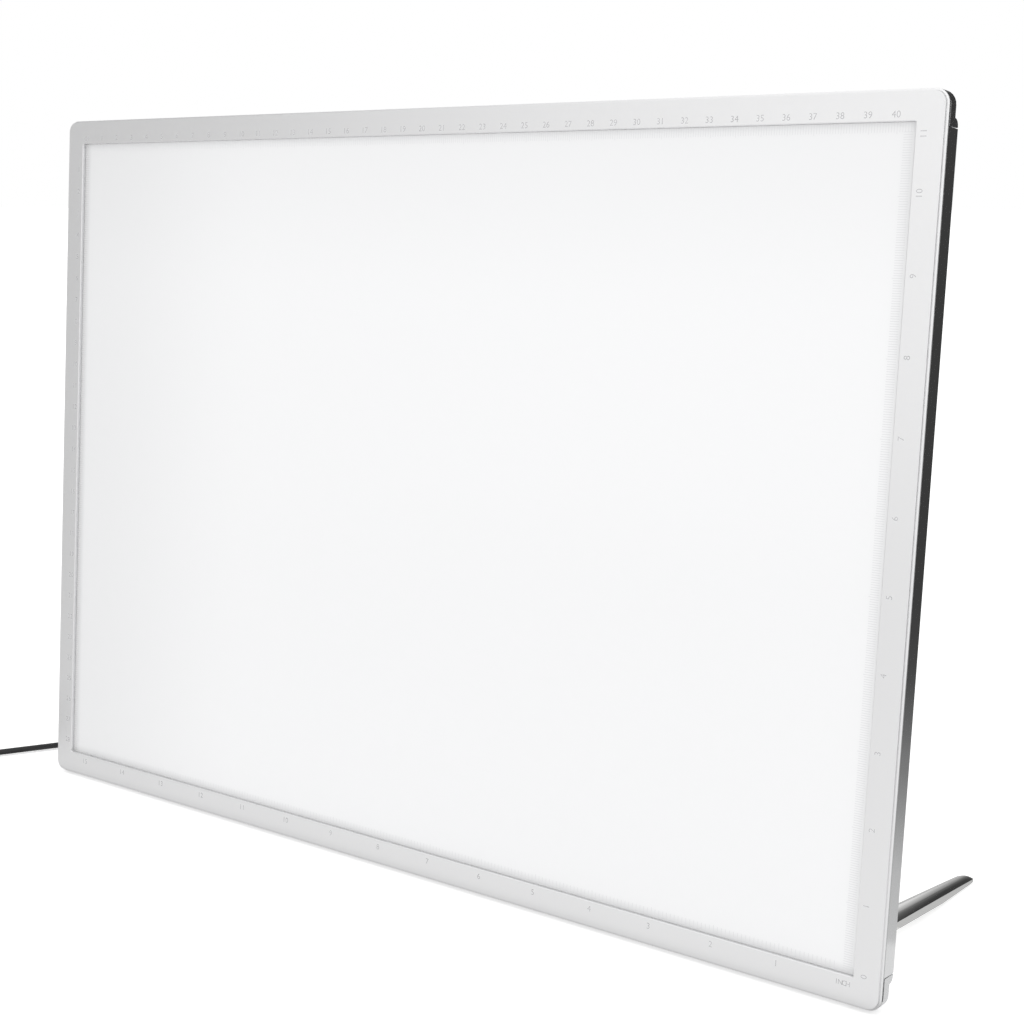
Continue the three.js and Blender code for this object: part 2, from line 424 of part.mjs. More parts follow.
add(group, 'cord_coil', new THREE.LatheGeometry([
  [COIL_R_IN, 1.2], [COIL_R_IN + 1.2, 0.05], [COIL_R_OUT - 1.2, 0.05], [COIL_R_OUT, 1.2], [COIL_R_OUT, COIL_H - 1.4], [COIL_R_OUT - 1.4, COIL_H], [COIL_R_IN + 1.4, COIL_H], [COIL_R_IN, COIL_H - 1.4], [COIL_R_IN, 1.2],
].map(p => new THREE.Vector2(...p)), 28).rotateX(Math.PI / 2).translate(coilC.x, coilC.y, 0), blackMat());

// the far end leaves the coil on its front side, heading left, and ends in a USB plug lying beyond it
const tail = new THREE.Group();             // +Y of this group is the way the tail heads
tail.position.set(coilC.x, coilC.y - RM, 0);
tail.rotation.z = Math.PI / 2;
group.add(tail);
const PLUG_Z = 4.05, PLUG_Y = 27;
add(tail, 'cord_tail', tubeGeo([[0, 12.4, FLOOR], [0, 17, FLOOR + 0.5], [0, 22, PLUG_Z - 0.6], [0, PLUG_Y - 0.3, PLUG_Z]], CORD_R, 5, 8), blackMat());
{
  let p = solid(turned('y', 0, PLUG_Z, [[0, PLUG_Y], [1.9, PLUG_Y], [2.2, PLUG_Y + 4], [3.0, PLUG_Y + 11], [0, PLUG_Y + 11]], 16));
  p = p.add(prism(roundRect(-7.6, 7.6, PLUG_Z - 4, PLUG_Z + 4, 1.8, 3), 'y', PLUG_Y + 10.5, PLUG_Y + 31));
  p = p.subtract(box(-6.3, 6.3, PLUG_Y + 28.5, PLUG_Y + 32, PLUG_Z - 2.55, PLUG_Z + 2.55));
  add(tail, 'usb_plug_body', p, blackMat());
  let sh = box(-6, 6, PLUG_Y + 28.8, PLUG_Y + 43, PLUG_Z - 2.25, PLUG_Z + 2.25)
    .subtract(box(-5.65, 5.65, PLUG_Y + 29.3, PLUG_Y + 44, PLUG_Z - 1.9, PLUG_Z + 1.9));
  for (const dx of [-2.7, 2.7]) sh = sh.subtract(box(dx - 1.1, dx + 1.1, PLUG_Y + 35.2, PLUG_Y + 37.4, PLUG_Z + 1, PLUG_Z + 3));
  add(tail, 'usb_plug_shell', sh, steelMat());
  add(tail, 'usb_plug_tongue', box(-5.35, 5.35, PLUG_Y + 29.6, PLUG_Y + 42.2, PLUG_Z - 1.6, PLUG_Z + 0.3), material(0xf0f0ee, 0.5, 0.0));
}

export default group;
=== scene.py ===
"""Looks of the A3 LED light box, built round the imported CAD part. Metres, +Z up, -Y is the lit side."""
import json
import math

import bmesh
import bpy
from mathutils import Matrix, Vector

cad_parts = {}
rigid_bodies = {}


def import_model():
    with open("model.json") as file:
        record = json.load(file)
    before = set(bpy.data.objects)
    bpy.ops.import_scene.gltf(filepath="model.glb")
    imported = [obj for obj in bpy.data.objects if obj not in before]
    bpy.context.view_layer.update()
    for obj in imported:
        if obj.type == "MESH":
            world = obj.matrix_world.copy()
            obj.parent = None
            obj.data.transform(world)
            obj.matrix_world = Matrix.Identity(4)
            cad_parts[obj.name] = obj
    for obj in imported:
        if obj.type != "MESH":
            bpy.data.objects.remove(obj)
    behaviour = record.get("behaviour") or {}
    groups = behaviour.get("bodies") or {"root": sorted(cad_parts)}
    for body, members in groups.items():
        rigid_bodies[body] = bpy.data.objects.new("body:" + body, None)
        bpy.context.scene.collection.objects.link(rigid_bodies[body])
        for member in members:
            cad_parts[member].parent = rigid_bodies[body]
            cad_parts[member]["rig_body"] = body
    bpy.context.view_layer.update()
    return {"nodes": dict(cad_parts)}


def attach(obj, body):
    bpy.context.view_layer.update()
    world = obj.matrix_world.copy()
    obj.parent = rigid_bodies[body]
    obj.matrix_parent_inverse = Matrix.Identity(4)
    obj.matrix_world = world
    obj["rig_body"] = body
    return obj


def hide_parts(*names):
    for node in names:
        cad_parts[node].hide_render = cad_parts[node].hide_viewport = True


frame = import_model()
nodes = frame["nodes"]
scene = bpy.context.scene

# ------------------------------------------------------------------ measures (mm) and the leaning frame
LEAN = math.radians(4.6)
COS, SIN = math.cos(LEAN), math.sin(LEAN)
TY, LIFT = -67.2016173694464, 0.7498599730682924
W, H, RIM = 431.0, 308.0, 10.5
HX = W / 2
OPEN_W, OPEN_H = 410.0, 287.0


def P(x, y, z):
    """Tilted millimetres (x from the middle, y rearwards from the bezel's face, z up the panel) to the row frame in metres."""
    return Vector((x / 1000, (y * COS + z * SIN + TY) / 1000, (z * COS - y * SIN + LIFT) / 1000))


def link(obj):
    scene.collection.objects.link(obj)
    return obj


# ------------------------------------------------------------------ materials
def material(name, color, rough, metal=0.0, **more):
    m = bpy.data.materials.new(name)
    m.use_nodes = True
    b = m.node_tree.nodes["Principled BSDF"]
    b.inputs["Base Color"].default_value = (*color, 1)
    b.inputs["Roughness"].default_value = rough
    b.inputs["Metallic"].default_value = metal
    for k, v in more.items():
        b.inputs[k].default_value = v
    return m


def node(m, kind, **values):
    n = m.node_tree.nodes.new(kind)
    for k, v in values.items():
        setattr(n, k, v)
    return n


def wire(m, a, b):
    m.node_tree.links.new(a, b)


def coords(m):
    return node(m, "ShaderNodeTexCoord").outputs["Object"]


def grain(m, scale, strength, distance=0.00002, detail=3.0, stretch=None):
    """A fine bumpy grain over the whole surface."""
    b = m.node_tree.nodes["Principled BSDF"]
    mapping = node(m, "ShaderNodeMapping")
    mapping.inputs["Scale"].default_value = stretch or (1, 1, 1)
    wire(m, coords(m), mapping.inputs["Vector"])
    n = node(m, "ShaderNodeTexNoise")
    n.inputs["Scale"].default_value = scale
    n.inputs["Detail"].default_value = detail
    wire(m, mapping.outputs[0], n.inputs["Vector"])
    bump = node(m, "ShaderNodeBump")
    bump.inputs["Strength"].default_value = strength
    bump.inputs["Distance"].default_value = distance
    wire(m, n.outputs["Fac"], bump.inputs["Height"])
    wire(m, bump.outputs[0], b.inputs["Normal"])
    return n


def vary(m, socket, low, high, scale=60.0, stretch=(1, 1, 1), detail=2.0):
    """A socket wanders between two values, or two colours, over the surface."""
    b = m.node_tree.nodes["Principled BSDF"]
    mapping = node(m, "ShaderNodeMapping")
    mapping.inputs["Scale"].default_value = stretch
    wire(m, coords(m), mapping.inputs["Vector"])
    n = node(m, "ShaderNodeTexNoise")
    n.inputs["Scale"].default_value = scale
    n.inputs["Detail"].default_value = detail
    wire(m, mapping.outputs[0], n.inputs["Vector"])
    ramp = node(m, "ShaderNodeValToRGB")
    ramp.color_ramp.elements[0].position, ramp.color_ramp.elements[1].position = 0.3, 0.7
    for e, v in zip(ramp.color_ramp.elements, (low, high)):
        e.color = (*v, 1) if hasattr(v, "__len__") else (v, v, v, 1)
    wire(m, n.outputs["Fac"], ramp.inputs["Fac"])
    wire(m, ramp.outputs["Color"], b.inputs[socket])


M = {}
M["bezel"] = material("bezel_anodised", (0.935, 0.935, 0.94), 0.33, 1.0)
vary(M["bezel"], "Roughness", 0.31, 0.37, 900)
grain(M["bezel"], 2600, 0.10)
M["rail"] = material("rail_anodised", (0.80, 0.805, 0.81), 0.17, 1.0)
vary(M["rail"], "Roughness", 0.14, 0.2, 500, (0.05, 1, 1))
grain(M["rail"], 1500, 0.05, stretch=(0.08, 1, 1))
M["cap"] = material("cap_diecast", (0.74, 0.745, 0.75), 0.27, 1.0)
vary(M["cap"], "Roughness", 0.24, 0.31, 700)
grain(M["cap"], 2200, 0.12)
M["cover"] = material("cover_powder_coat", (0.70, 0.705, 0.71), 0.42, 0.55)
vary(M["cover"], "Base Color", (0.68, 0.685, 0.69), (0.73, 0.735, 0.74), 40)
grain(M["cover"], 1300, 0.35, 0.00004, 4)
M["leg"] = material("leg_polished_steel", (0.80, 0.80, 0.79), 0.10, 1.0)
vary(M["leg"], "Roughness", 0.07, 0.15, 300)
grain(M["leg"], 1800, 0.03, stretch=(1, 0.1, 1))
M["bracket"] = material("zinc_plate", (0.66, 0.67, 0.685), 0.34, 1.0)
vary(M["bracket"], "Base Color", (0.60, 0.61, 0.63), (0.72, 0.73, 0.74), 350)
grain(M["bracket"], 1500, 0.12)
M["steel"] = material("bright_steel", (0.76, 0.76, 0.75), 0.22, 1.0)
vary(M["steel"], "Roughness", 0.18, 0.28, 900)
M["screw"] = material("screw_zinc", (0.68, 0.69, 0.70), 0.3, 1.0)
vary(M["screw"], "Roughness", 0.24, 0.36, 900)
M["rubber"] = material("black_rubber", (0.02, 0.02, 0.02), 0.75)
vary(M["rubber"], "Roughness", 0.68, 0.84, 500)
grain(M["rubber"], 1600, 0.25, 0.00005)
M["cord"] = material("cord_pvc", (0.012, 0.012, 0.013), 0.42)
vary(M["cord"], "Roughness", 0.36, 0.5, 700)
grain(M["cord"], 1800, 0.10)
M["boot"] = material("moulded_pvc", (0.016, 0.016, 0.017), 0.55)
vary(M["boot"], "Roughness", 0.48, 0.62, 700)
grain(M["boot"], 2000, 0.2)
M["button"] = material("button_plastic", (0.03, 0.03, 0.033), 0.38)
vary(M["button"], "Roughness", 0.33, 0.45, 900)
M["film"] = material("white_film", (0.9, 0.9, 0.9), 0.6)
M["guide"] = material("guide_acrylic", (0.8, 0.86, 0.88), 0.08)
M["led"] = material("led_board", (0.85, 0.82, 0.68), 0.45)
M["circuit"] = material("solder_mask", (0.02, 0.16, 0.06), 0.35)
M["lead"] = material("lead_pvc", (0.25, 0.015, 0.012), 0.45)
M["tongue"] = material("plug_tongue", (0.86, 0.86, 0.84), 0.4)
vary(M["tongue"], "Roughness", 0.35, 0.45, 500)
M["shell"] = material("plug_nickel", (0.78, 0.78, 0.77), 0.18, 1.0)
vary(M["shell"], "Roughness", 0.14, 0.24, 700)
M["ink"] = material("printed_ink", (0.50, 0.50, 0.51), 0.5)
vary(M["ink"], "Base Color", (0.44, 0.44, 0.45), (0.56, 0.56, 0.57), 400)
M["tick"] = material("printed_ticks", (0.66, 0.66, 0.67), 0.5)

# the lit panel: milky acrylic, a little dimmer towards its edges and its upper left; the narrow bands at the edges are
# partly the panel's own fall-off and partly painted shade from the bezel's recess, and the dimming towards the upper
# left is painted shade
def panel_material():
    m = material("milky_acrylic", (0.9, 0.9, 0.9), 0.16)
    b = m.node_tree.nodes["Principled BSDF"]
    sep = node(m, "ShaderNodeSeparateXYZ")
    wire(m, coords(m), sep.inputs[0])

    def ramp(source, a0, a1, lo, hi):
        r = node(m, "ShaderNodeMapRange", interpolation_type="SMOOTHSTEP")
        for k, v in zip(("From Min", "From Max", "To Min", "To Max"), (a0, a1, lo, hi)):
            r.inputs[k].default_value = v
        wire(m, source, r.inputs["Value"])
        return r.outputs["Result"]

    zb = P(0, 1.5, RIM).z
    zt = P(0, 1.5, RIM + OPEN_H).z
    x, z = sep.outputs["X"], sep.outputs["Z"]
    # painted shade: narrow dark bands along the opening's edges where the bezel's recess shades the panel (partly the
    # panel's own edge fall-off), and a broad dimming towards the left and the top
    parts = [
        ramp(x, -0.2050, -0.2000, 0.80, 1.0), ramp(x, 0.2050, 0.2010, 0.93, 1.0),
        ramp(z, zb, zb + 0.0040, 0.84, 1.0), ramp(z, zt, zt - 0.0030, 0.93, 1.0),
        ramp(x, -0.205, -0.085, 0.915, 1.0), ramp(z, zt, zt - 0.070, 0.955, 1.0),
    ]
    out = parts[0]
    for p in parts[1:]:
        mul = node(m, "ShaderNodeMath", operation="MULTIPLY")
        wire(m, out, mul.inputs[0])
        wire(m, p, mul.inputs[1])
        out = mul.outputs[0]
    mix = node(m, "ShaderNodeMix", data_type="RGBA", blend_type="MULTIPLY")
    mix.inputs[0].default_value = 1.0
    mix.inputs[6].default_value = (0.80, 0.802, 0.808, 1)
    wire(m, out, mix.inputs[7])
    wire(m, mix.outputs[2], b.inputs["Base Color"])
    wire(m, mix.outputs[2], b.inputs["Emission Color"])
    b.inputs["Emission Strength"].default_value = 0.03
    b.inputs["IOR"].default_value = 1.49
    n = node(m, "ShaderNodeTexNoise")
    n.inputs["Scale"].default_value = 900
    wire(m, coords(m), n.inputs["Vector"])
    bump = node(m, "ShaderNodeBump")
    bump.inputs["Strength"].default_value = 0.03
    bump.inputs["Distance"].default_value = 0.00002
    wire(m, n.outputs["Fac"], bump.inputs["Height"])
    wire(m, bump.outputs[0], b.inputs["Normal"])
    return m


M["panel"] = panel_material()

FINISH = {}


def finish_of(names, mat, slot):
    for n in names.split():
        FINISH[n] = (mat, slot)


finish_of("front_bezel", "bezel", "bezel")
finish_of("face_panel", "panel", "panel")
finish_of("diffuser_film reflector_sheet", "film", "film")
finish_of("light_guide_plate", "guide", "guide")
finish_of("bottom_led_strip top_led_strip", "led", "led_board")
finish_of("back_cover", "cover", "cover")
finish_of("bottom_rail top_rail left_rail right_rail", "rail", "rail")
finish_of("bottom_left_corner_cap bottom_right_corner_cap top_left_corner_cap top_right_corner_cap", "cap", "cap")
finish_of("bottom_left_cover_screw bottom_right_cover_screw top_left_cover_screw top_right_cover_screw", "screw", "screw")
finish_of("bottom_left_rear_foot bottom_right_rear_foot top_left_rear_foot top_right_rear_foot", "rubber", "foot")
finish_of("control_board", "circuit", "circuit")
finish_of("tact_switch", "button", "switch")
finish_of("power_button", "button", "button")
finish_of("bottom_led_lead top_led_lead", "lead", "lead")
finish_of("supply_lead", "cord", "cord")
finish_of("cord_strain_relief usb_plug_body", "boot", "boot")
finish_of("usb_plug_shell", "shell", "plug_shell")
finish_of("usb_plug_tongue", "tongue", "plug_tongue")
for s in ("left", "right"):
    finish_of(f"{s}_leg", "leg", "leg")
    finish_of(f"{s}_leg_bracket", "bracket", "bracket")
    finish_of(f"{s}_hinge_pin {s}_retaining_clip {s}_friction_washer", "steel", "hinge_steel")
    finish_of(f"{s}_bracket_rivet_a {s}_bracket_rivet_b", "bracket", "rivet")
for n, (mat, slot) in FINISH.items():
    nodes[n].data.materials.clear()
    nodes[n].data.materials.append(M[mat])


# ------------------------------------------------------------------ finer copies of the pieces that show
def finer(name, width, angle=32, segments=2):
    """A copy of a CAD piece with its edges softened and its curved sides smooth, standing for it."""
    src = nodes[name]
    bm = bmesh.new()
    bm.from_mesh(src.data)
    bmesh.ops.remove_doubles(bm, verts=bm.verts, dist=1.5e-6)
    bmesh.ops.dissolve_limit(bm, angle_limit=math.radians(0.4), verts=bm.verts, edges=bm.edges)
    bmesh.ops.recalc_face_normals(bm, faces=bm.faces)
    for f in bm.faces:
        f.smooth = True
    me = bpy.data.meshes.new(name + "_visual")
    bm.to_mesh(me)
    bm.free()
    me.materials.append(M[FINISH[name][0]])
    o = link(bpy.data.objects.new(name + "_visual", me))
    bev = o.modifiers.new("edges", "BEVEL")
    bev.width = width / 1000
    bev.segments = segments
    bev.limit_method = "ANGLE"
    bev.angle_limit = math.radians(angle)
    wn = o.modifiers.new("normals", "WEIGHTED_NORMAL")
    wn.mode = "FACE_AREA"
    wn.weight = 80
    body = src["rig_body"]
    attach(o, body)
    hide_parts(name)
    return o


for side in ("bottom", "top", "left", "right"):
    finer(side + "_rail", 0.10)
for c in ("bottom_left", "bottom_right", "top_left", "top_right"):
    finer(c + "_corner_cap", 0.28, segments=2)
    finer(c + "_cover_screw", 0.10)
    finer(c + "_rear_foot", 0.35, segments=3)
finer("back_cover", 0.12)
finer("power_button", 0.25, segments=3)
finer("cord_strain_relief", 0.15, angle=40)
finer("usb_plug_body", 0.5, segments=3)
finer("usb_plug_shell", 0.08)
finer("usb_plug_tongue", 0.08)
for s in ("left", "right"):
    finer(s + "_leg", 0.16, angle=40, segments=3)
    finer(s + "_leg_bracket", 0.18, segments=3)
    for part in ("hinge_pin", "retaining_clip", "friction_washer", "bracket_rivet_a", "bracket_rivet_b"):
        finer(f"{s}_{part}", 0.10)


# ------------------------------------------------------------------ front bezel and lit panel, as finer sweeps
def ring(q, r, steps=10):
    pts = []
    for cx, cz, a in ((HX - q - r, q + r, -90), (HX - q - r, H - q - r, 0), (-HX + q + r, H - q - r, 90), (-HX + q + r, q + r, 180)):
        for i in range(steps + 1):
            t = math.radians(a + 90 * i / steps)
            pts.append((cx + r * math.cos(t), cz + r * math.sin(t)))
    return pts


def sweep(name, profile, closed, mat, stands_for, sharp=14):
    """profile is [(inset from the outer edge, corner radius, depth)], run round the rectangle."""
    v, f = [], []
    for q, r, y in profile:
        v += [P(x, y, z) for x, z in ring(q, r)]
    n = len(ring(0, 5))
    m = len(profile)
    for j in range(m if closed else m - 1):
        k = (j + 1) % m
        for i in range(n):
            i2 = (i + 1) % n
            f.append((j * n + i, j * n + i2, k * n + i2, k * n + i))
    if not closed:
        f.append(tuple(range(n - 1, -1, -1)))
        f.append(tuple((m - 1) * n + i for i in range(n)))
    me = bpy.data.meshes.new(name)
    me.from_pydata(v, [], f)
    bm = bmesh.new()
    bm.from_mesh(me)
    bmesh.ops.remove_doubles(bm, verts=bm.verts, dist=1e-7)
    bmesh.ops.recalc_face_normals(bm, faces=bm.faces)
    for face in bm.faces:
        face.smooth = True
    bm.to_mesh(me)
    bm.free()
    me.set_sharp_from_angle(angle=math.radians(sharp))
    me.materials.append(M[mat])
    o = link(bpy.data.objects.new(name, me))
    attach(o, "box")
    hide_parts(stands_for)
    return o


# the face stands a little proud of a bright ledge that runs round it; the inner lip is softened
sweep("front_bezel_visual", [
    (0.0, 5.0, 1.5), (0.0, 5.0, 1.40), (0.05, 4.95, 1.33), (0.60, 4.40, 1.12), (0.65, 4.35, 1.06), (0.70, 4.3, 0.12), (0.76, 4.24, 0.03), (0.84, 4.16, 0.0),
    (10.22, 0.7, 0.0), (10.36, 0.6, 0.06), (10.46, 0.5, 0.24), (10.5, 0.5, 1.5),
], True, "bezel", "front_bezel")
sweep("face_panel_visual", [
    (10.52, 0.5, 2.6), (10.52, 0.5, 1.56), (10.58, 0.5, 1.5),
], False, "panel", "face_panel")

# ------------------------------------------------------------------ printed rulers
def glyph(char):
    cu = bpy.data.curves.new("glyph", "FONT")
    cu.body = char
    cu.size = 1.0
    cu.offset = -0.004
    cu.resolution_u = 5
    ob = bpy.data.objects.new("glyph", cu)
    link(ob)
    bpy.context.view_layer.update()
    me = bpy.data.meshes.new_from_object(ob.evaluated_get(bpy.context.evaluated_depsgraph_get()))
    pts = [(v.co.x, v.co.y) for v in me.vertices]
    faces = [tuple(p.vertices) for p in me.polygons]
    bpy.data.objects.remove(ob)
    bpy.data.curves.remove(cu)
    bpy.data.meshes.remove(me)
    x0, x1 = min(p[0] for p in pts), max(p[0] for p in pts)
    y1 = max(p[1] for p in pts)
    return [(x - x0, y) for x, y in pts], faces, x1 - x0, y1


GLYPHS = {c: glyph(c) for c in "0123456789CMINH"}


class Print:
    """Flat printing, laid on a plane of the leaning frame."""

    def __init__(self, name, mat, y):
        self.name, self.mat, self.y, self.v, self.f = name, mat, y, [], []

    def quad(self, x0, x1, z0, z1):
        b = len(self.v)
        self.v += [P(x0, self.y, z0), P(x1, self.y, z0), P(x1, self.y, z1), P(x0, self.y, z1)]
        self.f.append((b, b + 1, b + 2, b + 3))

    def text(self, s, height, cx, cz, turn=0.0):
        scale = height / GLYPHS["0"][3]
        pitch = (0.76 if s.isdigit() else 0.80) * height
        at = -pitch * len(s) / 2
        ca, sa = math.cos(turn), math.sin(turn)
        for c in s:
            pts, faces, w, _ = GLYPHS[c]
            b = len(self.v)
            for x, y in pts:
                u, v = at + (pitch - w * scale) / 2 + x * scale, y * scale - height / 2
                self.v.append(P(cx + u * ca - v * sa, self.y, cz + u * sa + v * ca))
            self.f += [tuple(b + i for i in f) for f in faces]
            at += pitch

    def done(self):
        me = bpy.data.meshes.new(self.name)
        me.from_pydata(self.v, [], self.f)
        me.materials.append(M[self.mat])
        o = link(bpy.data.objects.new(self.name, me))
        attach(o, "box")
        return o


X0 = -OPEN_W / 2
DIGIT = 2.2
INCH = 26.46                                             # spacing of the inch marks as printed
cm_scale = Print("ruler_print_cm", "ink", -0.012)
cm_scale.text("CM", 1.7, X0 + 2.4, RIM + OPEN_H + 2.4)
for n in range(1, 41):
    cm_scale.text(str(n), DIGIT, X0 + 3.0 + 10 * n, RIM + OPEN_H + 2.4)
for n in range(1, 29):
    cm_scale.text(str(n), DIGIT, X0 - 2.6, RIM + OPEN_H - 1.5 - 10 * n)
cm_scale.done()
inch_scale = Print("ruler_print_inch", "ink", -0.012)
inch_scale.text("INCH", 1.8, X0 + 406.2, RIM - 2.9)
for n in range(1, 16):
    inch_scale.text(str(n), DIGIT, X0 + 407.1 - INCH * n, RIM - 2.9)
for n in range(0, 11):
    inch_scale.text(str(n), DIGIT, X0 + OPEN_W + (2.9 if n else 3.9), RIM + (INCH * n - 0.7 if n else 1.2), math.pi / 2)
inch_scale.text("11", DIGIT, X0 + OPEN_W + 2.9, RIM + 283.0, math.pi / 2)
inch_scale.done()

ticks = Print("ruler_ticks", "tick", 1.5 - 0.012)
for i in range(0, 407):
    x = X0 + 3.0 + i
    ln = 3.5 if i % 10 == 0 else 3.0
    ticks.quad(x - 0.09, x + 0.09, RIM + OPEN_H - 0.3 - ln, RIM + OPEN_H - 0.3)
for i in range(3, 284):
    z = RIM + OPEN_H - 1.5 - i
    ln = 3.5 if i % 10 == 0 else 3.0
    ticks.quad(X0 + 0.4, X0 + 0.4 + ln, z - 0.09, z + 0.09)
for i in range(3, 15 * 16):
    x = X0 + 407.1 - i * INCH / 16
    ln = 3.5 if i % 16 == 0 else 3.0
    ticks.quad(x - 0.09, x + 0.09, RIM + 0.4, RIM + 0.4 + ln)
for i in range(3, 346):
    z = RIM - 1.5 + i * INCH / 32
    ln = 3.7 if i % 32 == 0 else 3.2
    ticks.quad(X0 + OPEN_W - 1.4 - ln, X0 + OPEN_W - 1.4, z - 0.10, z + 0.10)
ticks.done()

# ------------------------------------------------------------------ power cord: 1.5 m, boot to plug
CORD_D = 2.8
FLOOR = CORD_D / 2 + 0.1
BOOT_X, BOOT_Z = -HX + 6.7, 62.0


def cord_line():
    mm = lambda v: v * 1000
    start = mm(P(BOOT_X, 21.6, BOOT_Z))
    out = Vector((0, COS, -SIN))
    exit_ = mm(P(BOOT_X, 22.3, BOOT_Z))
    pts = [start, exit_, exit_ + out * 3, exit_ + out * 6]
    r_top, r_turn, run = 12.5, 12.5, 80.0
    h = Vector((-0.49, -0.872))
    h.normalize()
    cur = pts[-1]
    a0 = LEAN
    cy, cz = cur.y - r_top * math.sin(a0), cur.z - r_top * math.cos(a0)
    for i in range(1, 17):
        t = a0 + (math.pi / 2 - a0) * i / 16
        pts.append(Vector((cur.x, cy + r_top * math.sin(t), cz + r_top * math.cos(t))))
    y_down = cy + r_top
    turn = math.atan2(-h.y, -h.x)
    x_cross = -242.3 + h.x * (y_down + 44.9) / h.y
    r_land = exit_.x - (x_cross + r_turn * math.tan(turn / 2))
    z_land = FLOOR + r_land
    for k in (0.33, 0.66):
        pts.append(Vector((exit_.x, y_down, cz + (z_land - cz) * k)))
    for i in range(17):
        t = math.pi / 2 * i / 16
        pts.append(Vector((exit_.x - r_land * (1 - math.cos(t)), y_down, z_land - r_land * math.sin(t))))
    x1 = exit_.x - r_land
    for i in range(1, 13):
        t = turn * i / 12
        pts.append(Vector((x1 - r_turn * math.sin(t), y_down - r_turn * (1 - math.cos(t)), FLOOR)))
    cur = pts[-1]
    for d in (16, 32, 48, 64):
        pts.append(Vector((cur.x + h.x * d, cur.y + h.y * d, FLOOR)))
    entry = Vector((cur.x + h.x * run, cur.y + h.y * run))
    rm = 21.2
    c = Vector((entry.x + rm * h.y, entry.y - rm * h.x))
    a_in = math.atan2(entry.y - c.y, entry.x - c.x)
    total = (math.pi / 2 + a_in) + 12 * 2 * math.pi        # clockwise, from the entry round to the front
    layers, per, steps = 4, total / 4, 112
    r_in = 12.65
    climb = math.radians(50)
    for i in range(layers * steps + 1):
        q = min(i / steps, layers - 1e-9)
        layer, f = int(q), q - int(q)
        lo, hi = (rm, r_in) if layer % 2 == 0 else (r_in, rm)
        r = lo + (hi - lo) * f
        ang = a_in - per * q
        z = FLOOR + 2.85 * layer
        over = (f * per) / climb                             # rises to each layer as it turns
        if layer > 0 and over < 1:
            z -= 2.85 * (1 - (over * over * (3 - 2 * over)))
        pts.append(Vector((c.x + r * math.cos(ang), c.y + r * math.sin(ang), z)))
    top = FLOOR + 2.85 * 3
    plug_z, plug = 4.05, 27.0
    for i in range(1, 25):
        f = i / 24
        g = min(1.0, max(0.0, (f - 0.12) / 0.88))
        g = g * g * (3 - 2 * g)
        pts.append(Vector((c.x - (plug + 1.2) * f, c.y - rm, top + (plug_z - top) * g)))
    return [p / 1000 for p in pts]


line = cord_line()
length = sum((b - a).length for a, b in zip(line, line[1:]))
print("cord length", round(length, 4))
cu = bpy.data.curves.new("power_cord_visual", "CURVE")
cu.dimensions = "3D"
sp = cu.splines.new("POLY")
sp.points.add(len(line) - 1)
for p, q in zip(sp.points, line):
    p.co = (*q, 1)
sp.use_smooth = True
cu.bevel_depth = CORD_D / 2000
cu.bevel_resolution = 5
cu.use_fill_caps = True
cu.materials.append(M["cord"])
cord = link(bpy.data.objects.new("power_cord_visual", cu))
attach(cord, "box")
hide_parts("power_cord", "cord_coil", "cord_tail")


# ------------------------------------------------------------------ stage: floor, reflected cards, light, camera
def plane(name, corners, mat):
    me = bpy.data.meshes.new(name)
    me.from_pydata([Vector(c) for c in corners], [], [(0, 1, 2, 3)])
    me.materials.append(mat)
    o = link(bpy.data.objects.new(name, me))
    return o


def glow(name, value):
    m = bpy.data.materials.new(name)
    m.use_nodes = True
    t = m.node_tree
    t.nodes.clear()
    e = t.nodes.new("ShaderNodeEmission")
    e.inputs["Color"].default_value = (value, value, value, 1)
    o = t.nodes.new("ShaderNodeOutputMaterial")
    t.links.new(e.outputs[0], o.inputs["Surface"])
    return m


def reflected_only(o):
    o.visible_camera = False
    o.visible_diffuse = False
    o.visible_shadow = False
    o.visible_transmission = False
    o.visible_volume_scatter = False
    return o


floor_mat = material("pale_floor", (0.80, 0.80, 0.80), 0.9)
floor_mat.node_tree.nodes["Principled BSDF"].inputs["Emission Color"].default_value = (1, 1, 1, 1)
floor_mat.node_tree.nodes["Principled BSDF"].inputs["Emission Strength"].default_value = 0.50
floor_mat.node_tree.nodes["Principled BSDF"].inputs["Specular IOR Level"].default_value = 0.0
floor = plane("floor", [(-40, -40, -0.0004), (40, -40, -0.0004), (40, 40, -0.0004), (-40, 40, -0.0004)], floor_mat)
floor.visible_glossy = False


def shaded(name, rows, mat):
    """A strip of quads between rows of points; each row is (points, grey)."""
    n = len(rows[0][0])
    me = bpy.data.meshes.new(name)
    me.from_pydata([Vector(p) for pts, _ in rows for p in pts], [], [(j * n + i, j * n + i + 1, (j + 1) * n + i + 1, (j + 1) * n + i) for j in range(len(rows) - 1) for i in range(n - 1)])
    col = me.color_attributes.new("shade", "FLOAT_COLOR", "POINT")
    for j, (pts, g) in enumerate(rows):
        for i in range(n):
            k = g[i] if isinstance(g, tuple) else g
            col.data[j * n + i].color = (k, k, k, 1)
    m = glow(name + "_grey", 1.0)
    e = next(x for x in m.node_tree.nodes if x.type == "EMISSION")
    at = m.node_tree.nodes.new("ShaderNodeAttribute")
    at.attribute_name = "shade"
    m.node_tree.links.new(at.outputs["Color"], e.inputs["Color"])
    me.materials.append(m)
    o = link(bpy.data.objects.new(name, me))
    return reflected_only(o)


# the same floor as the metal sees it: a little greyer, so that the lower edges keep some tone
shaded("floor_in_reflections", [([(x, -20, -0.0006), (x, 20, -0.0006)], g) for x, g in ((-20, 0.58), (-0.7, 0.60), (-0.4, 0.66), (-0.15, 0.79), (0.1, 0.82), (20, 0.80))], None)

# the shade right under the front edge
shaded("front_shade", [([(-0.3, y, -0.0003), (0.3, y, -0.0003)], g) for y, g in ((-0.0760, 0.74), (-0.0700, 0.48), (-0.0600, 0.40))], None)
